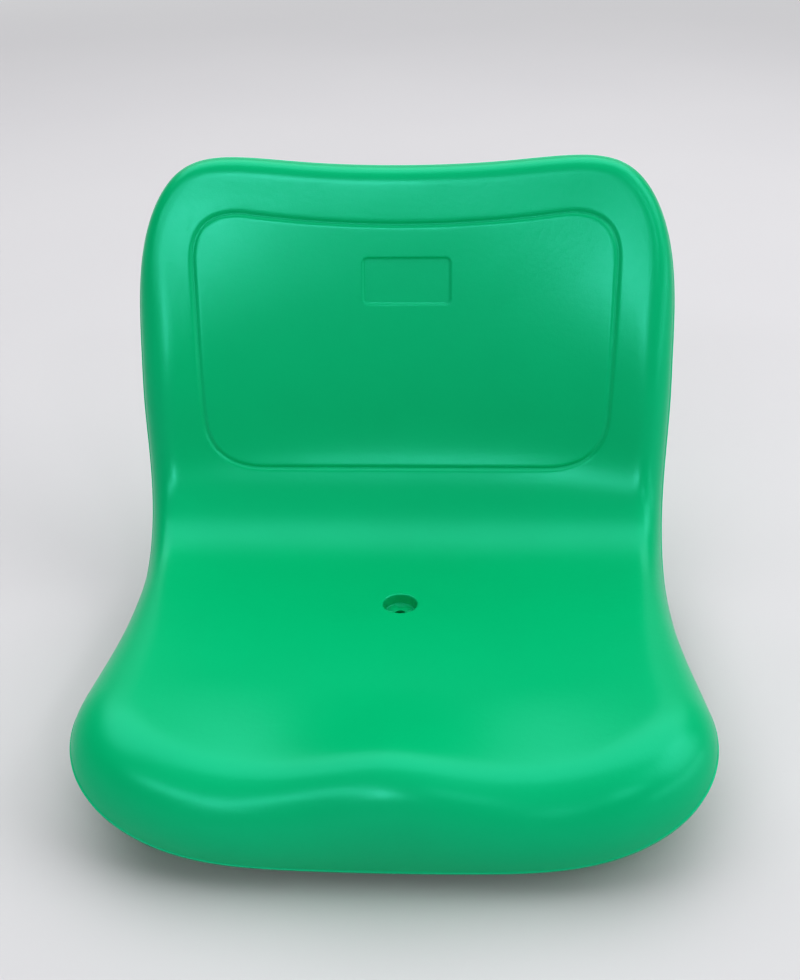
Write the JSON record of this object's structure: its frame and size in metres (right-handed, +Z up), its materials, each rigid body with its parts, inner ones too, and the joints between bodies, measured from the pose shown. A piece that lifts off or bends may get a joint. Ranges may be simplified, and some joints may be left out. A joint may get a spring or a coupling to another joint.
{
  "type": "stadium seat",
  "caption": "Hollow blow-moulded stadium seat in green plastic with a rolled rim, a grooved backrest, a central bolt hole and a foot with moulded-in nuts.",
  "frame": {"origin": "middle of the bounding box at the height of the floor, under the pan", "axes": "+X to the sitter's left as seen from the front, which is to the right in the front view; +Y to the rear, so the seat opens towards -Y; +Z up"},
  "size_m": [0.4246, 0.4322, 0.3356],
  "materials": {
    "green_plastic": "satin, finely textured polyethylene",
    "zinc_steel": "bright zinc plating",
    "plug_plastic": "satin polyethylene"
  },
  "bodies": {
    "root": {"seat_shell": "green_plastic", "insert_nut_front_left": "zinc_steel", "insert_nut_front_right": "zinc_steel", "insert_nut_rear_left": "zinc_steel", "insert_nut_rear_right": "zinc_steel", "blow_hole_plug": "plug_plastic"}
  },
  "joints": []
}
